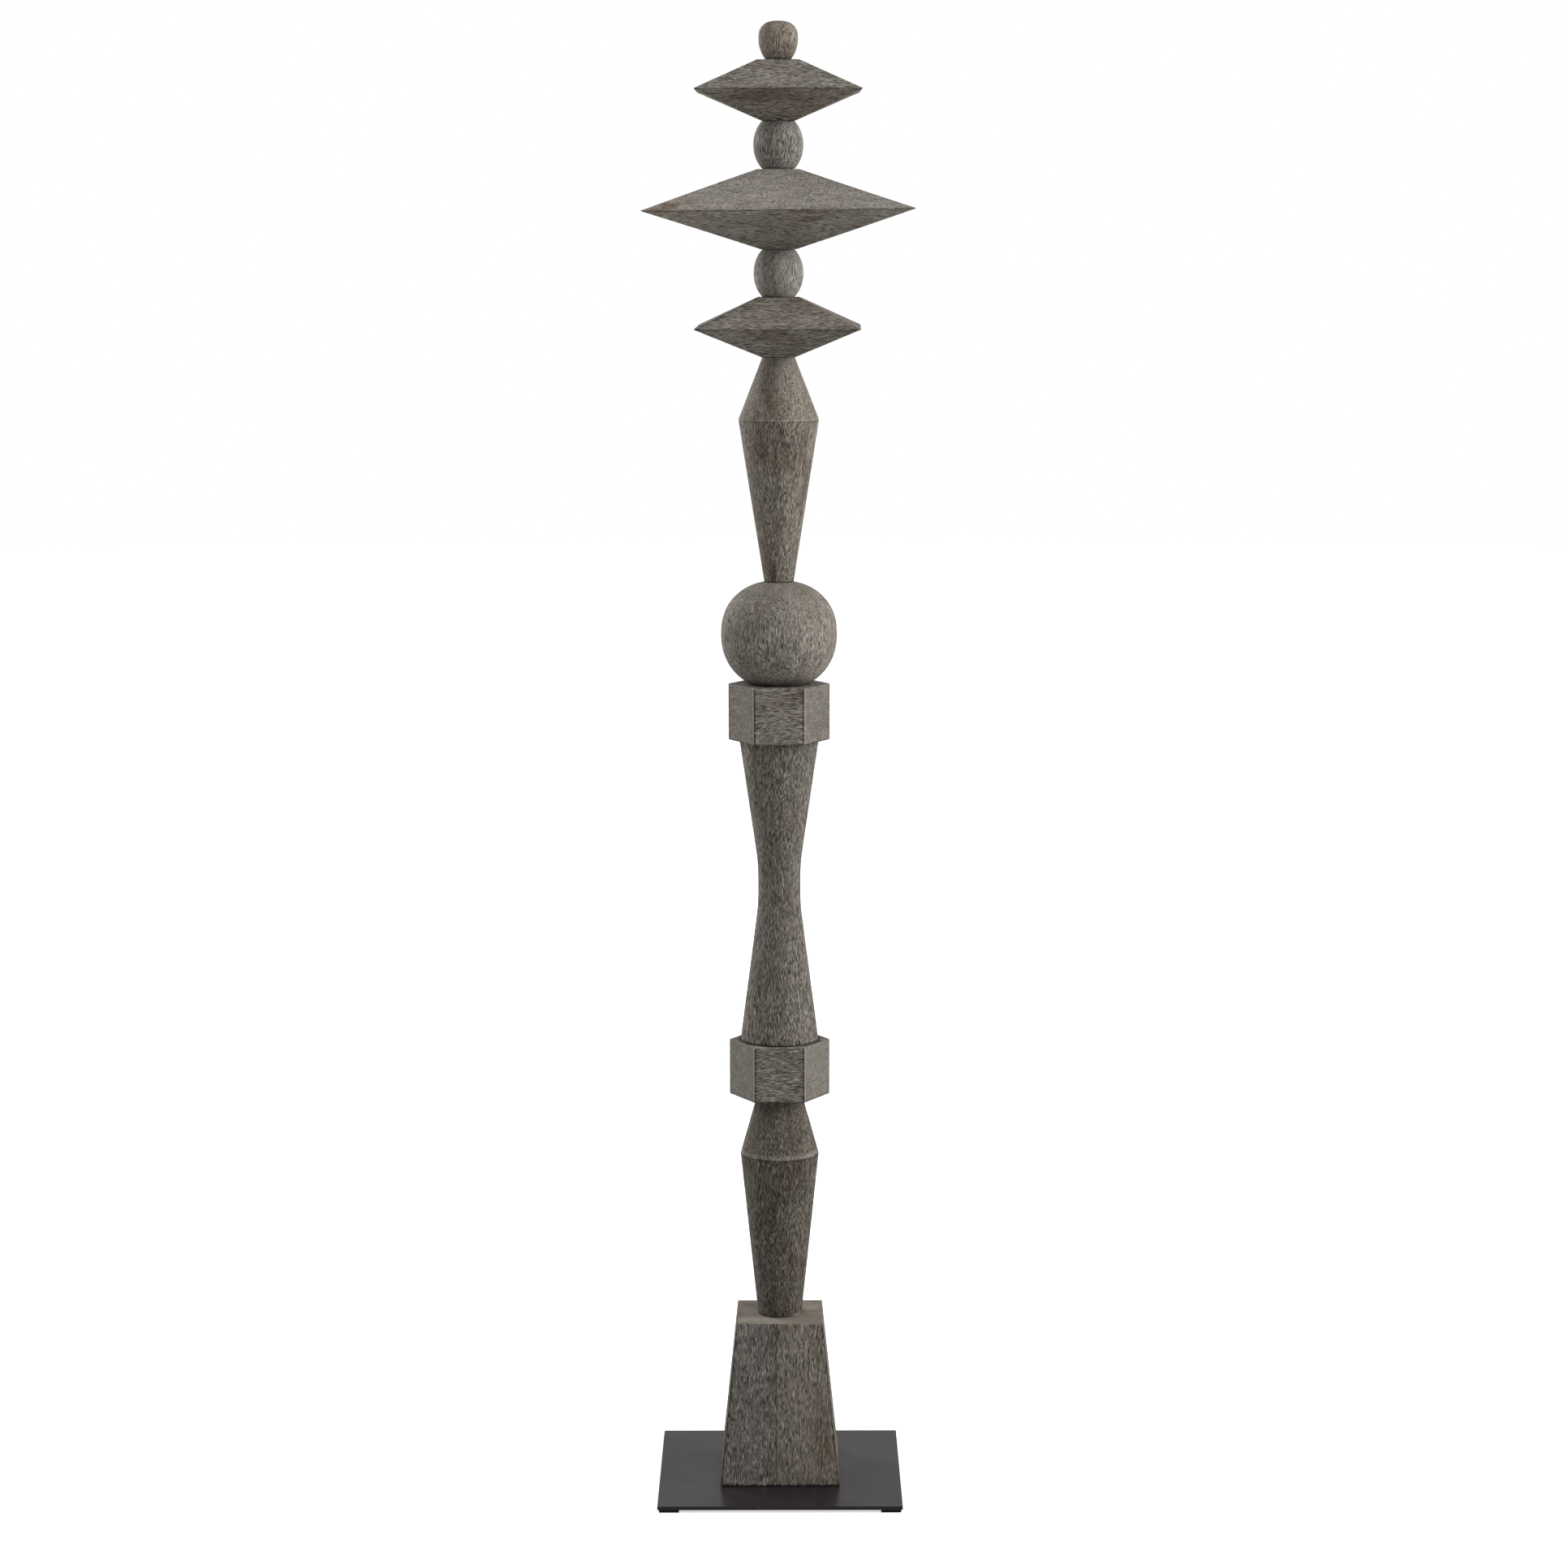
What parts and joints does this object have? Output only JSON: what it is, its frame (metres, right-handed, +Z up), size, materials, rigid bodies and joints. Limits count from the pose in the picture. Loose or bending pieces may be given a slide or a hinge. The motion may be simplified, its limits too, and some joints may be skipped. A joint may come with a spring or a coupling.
{
  "type": "totem pole",
  "caption": "Tall slender floor totem of stacked turned, faceted and tapered wooden forms, standing on a square steel plate with corner feet.",
  "frame": {"origin": "middle of the underside of the four feet, on the floor", "axes": "+Z up along the pole, -Y to the front, +X to the right seen from the front; the plate's sides lie along X and Y"},
  "size_m": [0.326, 0.326, 1.8261],
  "materials": {
    "brushed_wood": "weathered grey-brown hardwood, wire brushed and limed, matt",
    "plate_steel": "dark bronze-grey powder coat, satin, on sheet steel",
    "foot_rubber": "plain black rubber, matt"
  },
  "bodies": {
    "root": {"foot_front_left": "foot_rubber", "foot_front_right": "foot_rubber", "foot_back_right": "foot_rubber", "foot_back_left": "foot_rubber", "base_plate": "plate_steel", "tapered_block": "brushed_wood", "lower_spindle": "brushed_wood", "lower_collar": "brushed_wood", "waisted_column": "brushed_wood", "upper_collar": "brushed_wood", "ball": "brushed_wood", "upper_spindle": "brushed_wood", "lower_small_pyramid": "brushed_wood", "lower_bead": "brushed_wood", "large_pyramid": "brushed_wood", "upper_bead": "brushed_wood", "upper_small_pyramid": "brushed_wood", "finial": "brushed_wood"}
  },
  "joints": []
}
